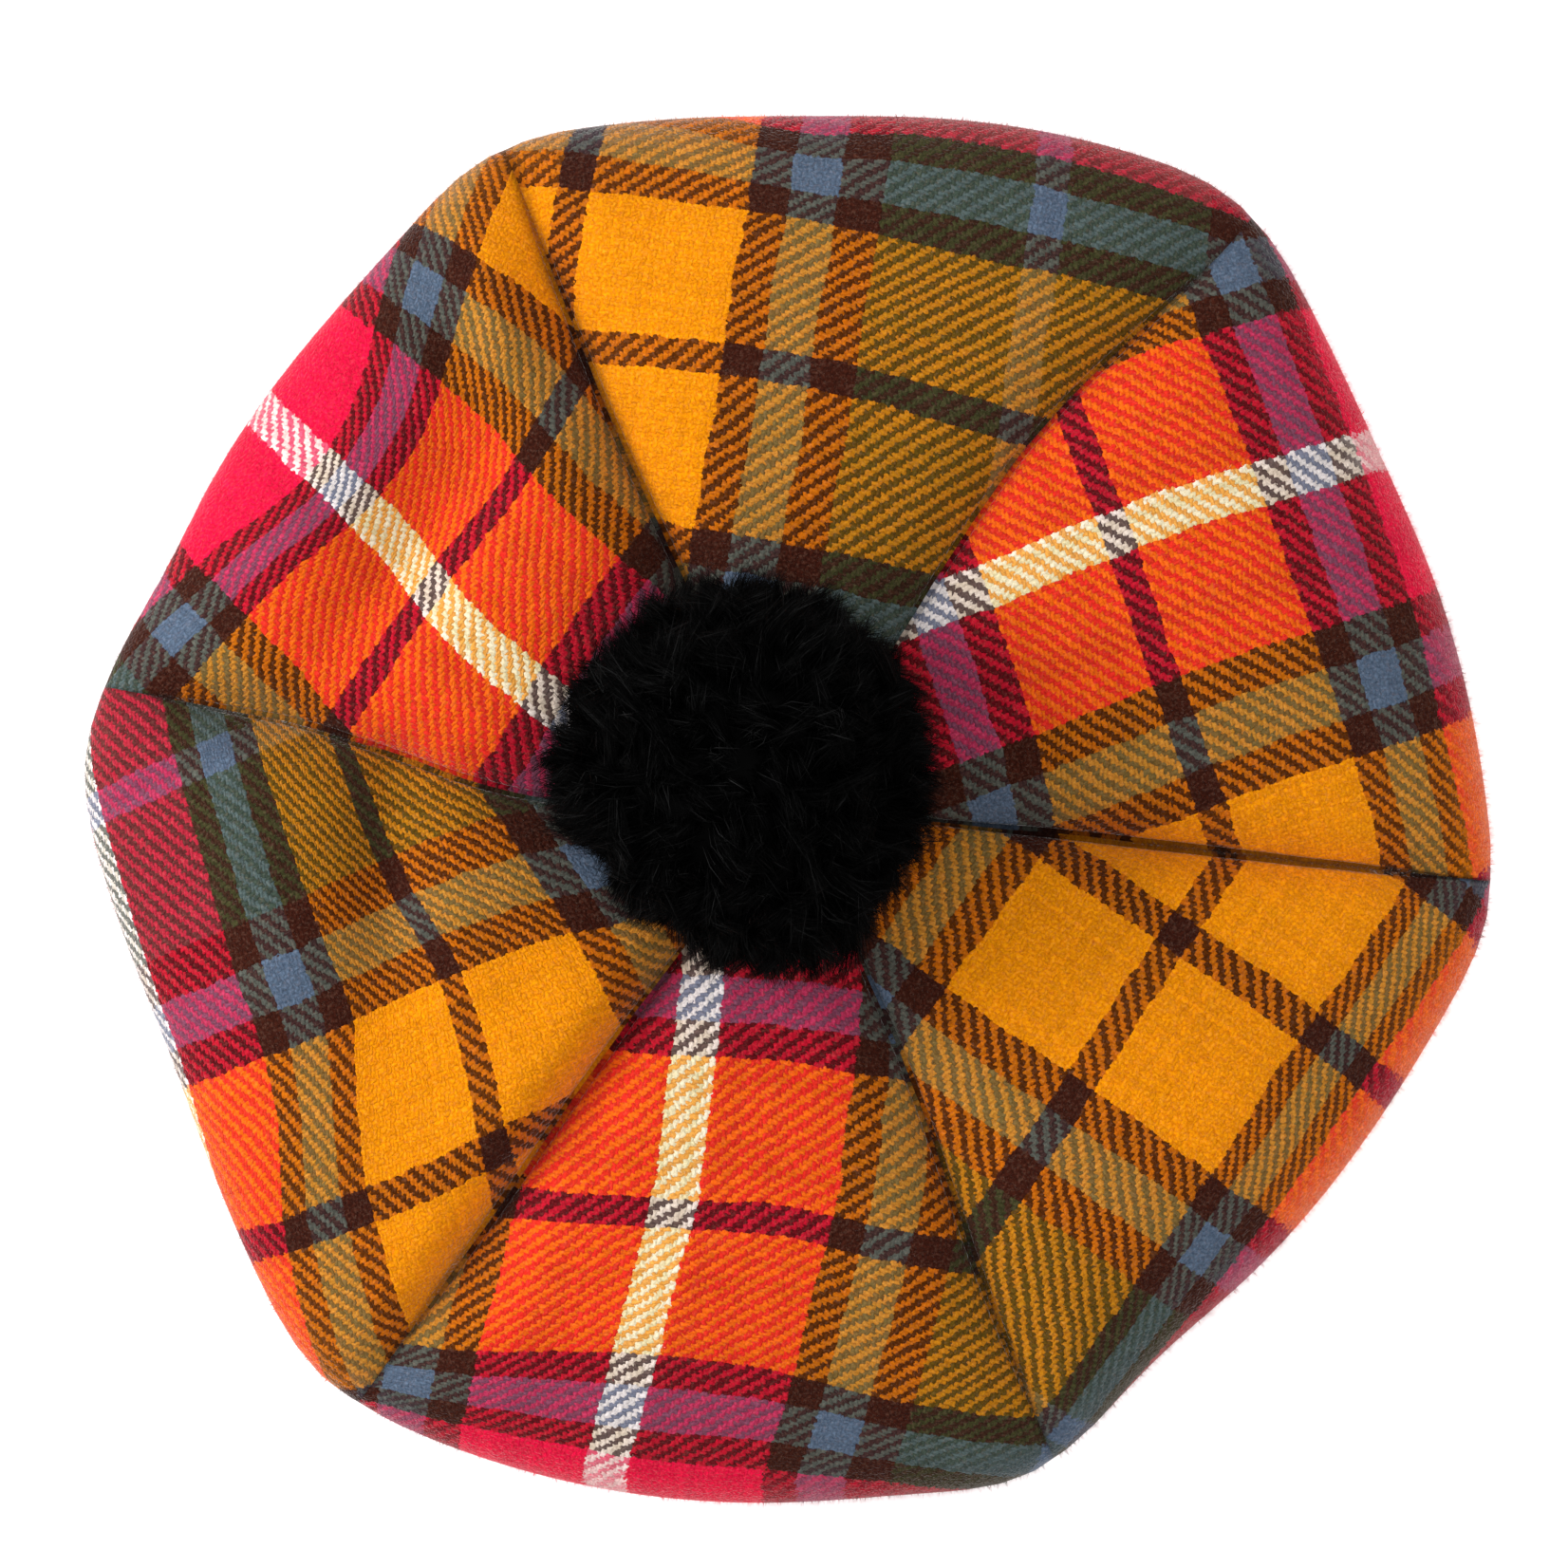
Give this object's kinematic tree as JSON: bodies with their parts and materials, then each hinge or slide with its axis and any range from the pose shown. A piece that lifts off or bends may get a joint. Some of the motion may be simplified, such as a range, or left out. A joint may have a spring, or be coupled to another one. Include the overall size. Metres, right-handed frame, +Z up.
{
  "type": "tam o' shanter hat",
  "caption": "Flat, soft round wool cap sewn from wedge panels in a tartan twill, with a narrow head band and a round pompom on top.",
  "frame": {"origin": "on the surface that the hat rests on, under the middle of the crown's outline", "axes": "+Z up out of the crown, +Y towards the top of the crown as it is seen from above, +X to its right"},
  "size_m": [0.2736, 0.2701, 0.1045],
  "materials": {
    "tartan_wool": "fulled wool twill in orange, red, black, slate and green tartan",
    "band_wool": "doubled strip of the same tartan twill",
    "pompom_yarn": "cut black wool yarn"
  },
  "bodies": {
    "root": {"gore_1": "tartan_wool", "gore_2": "tartan_wool", "gore_3": "tartan_wool", "gore_4": "tartan_wool", "gore_5": "tartan_wool", "gore_6": "tartan_wool", "head_band": "band_wool", "pompom": "pompom_yarn"}
  },
  "joints": []
}
